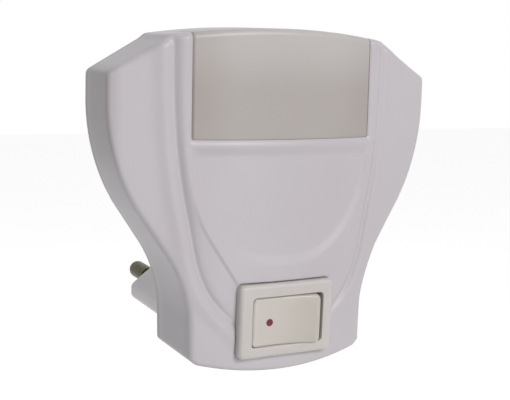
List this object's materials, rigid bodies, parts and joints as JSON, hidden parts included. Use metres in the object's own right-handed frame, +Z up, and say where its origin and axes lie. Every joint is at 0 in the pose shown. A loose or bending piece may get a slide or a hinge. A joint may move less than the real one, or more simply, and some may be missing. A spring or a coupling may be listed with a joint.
{
  "type": "plug-in night light",
  "caption": "Shield-shaped plug-in night light: white case, milky diffuser running over the top edge, cream rocker switch with a red dot, and a flat two-pin plug body at the back.",
  "frame": {"origin": "centre of the plug body's end face, midway between the two pins, where the plug meets the socket", "axes": "+Y out of the plug face along the pins, towards the wall; -Y is the way the diffuser and switch face; +Z up; +X to the right of someone facing the light"},
  "size_m": [0.0714, 0.0603, 0.0679],
  "materials": {
    "case_white": "satin moulded white plastic",
    "diffuser_milk": "milky translucent plastic",
    "switch_cream": "satin cream plastic",
    "rocker_cream": "satin cream plastic with a red dot",
    "plunger_white": "plain",
    "spring_steel": "drawn wire",
    "contact_brass": "pressed strip",
    "contact_silver": "silver rivet",
    "board_brown": "paper laminate",
    "lamp_clear": "clear cast resin",
    "tinned_lead": "tinned wire",
    "capacitor_red": "dipped",
    "capacitor_dark": "shrunk film",
    "resistor_tan": "lacquered",
    "diode_black": "moulded",
    "pin_brass": "turned",
    "sleeve_dark": "moulded",
    "screw_steel": "zinc plated",
    "wire_brown": "insulated",
    "wire_black": "insulated",
    "wire_blue": "insulated"
  },
  "bodies": {
    "housing": {"front_shell": "case_white", "rear_cover": "case_white", "diffuser": "diffuser_milk", "switch_body": "switch_cream", "fixed_contact": "contact_silver", "centre_terminal": "contact_brass", "end_terminal": "contact_brass", "circuit_board": "board_brown", "led_lamps": "lamp_clear", "led_leads": "tinned_lead", "film_capacitor": "capacitor_red", "electrolytic_capacitor": "capacitor_dark", "resistors": "resistor_tan", "diodes": "diode_black", "component_leads": "tinned_lead", "pin_left": "pin_brass", "pin_right": "pin_brass", "pin_sleeve_left": "sleeve_dark", "pin_sleeve_right": "sleeve_dark", "case_screws": "screw_steel", "board_screws": "screw_steel", "wire_live": "wire_brown", "wire_switched": "wire_black", "wire_neutral": "wire_blue"},
    "rocker_body": {"rocker": "rocker_cream", "plunger_spring": "spring_steel"},
    "plunger_body": {"plunger": "plunger_white"},
    "lever_body": {"contact_lever": "contact_brass", "moving_contact": "contact_silver"}
  },
  "joints": [
    {"name": "rocker_tilt", "type": "hinge", "parent": "housing", "child": "rocker_body", "pos_m": [0, -0.0383, 0.002], "axis": [0, 0, 1], "range_deg": [0, 11]},
    {"name": "lever_tilt", "type": "hinge", "parent": "housing", "child": "lever_body", "pos_m": [0, -0.0303, 0.002], "axis": [0, 0, -1], "range_deg": [0, 9.6]},
    {"name": "plunger_slide", "type": "slide", "parent": "rocker_body", "child": "plunger_body", "axis": [-0.0958, -0.9954, 0], "range_m": [0, 0.0006], "stiffness_N_per_m": 500, "springref_m": -0.001, "deforming": ["plunger_spring"]}
  ],
  "couplings": [
    {"joint": "lever_tilt", "follows": "rocker_tilt", "ratio": 0.87273}
  ]
}
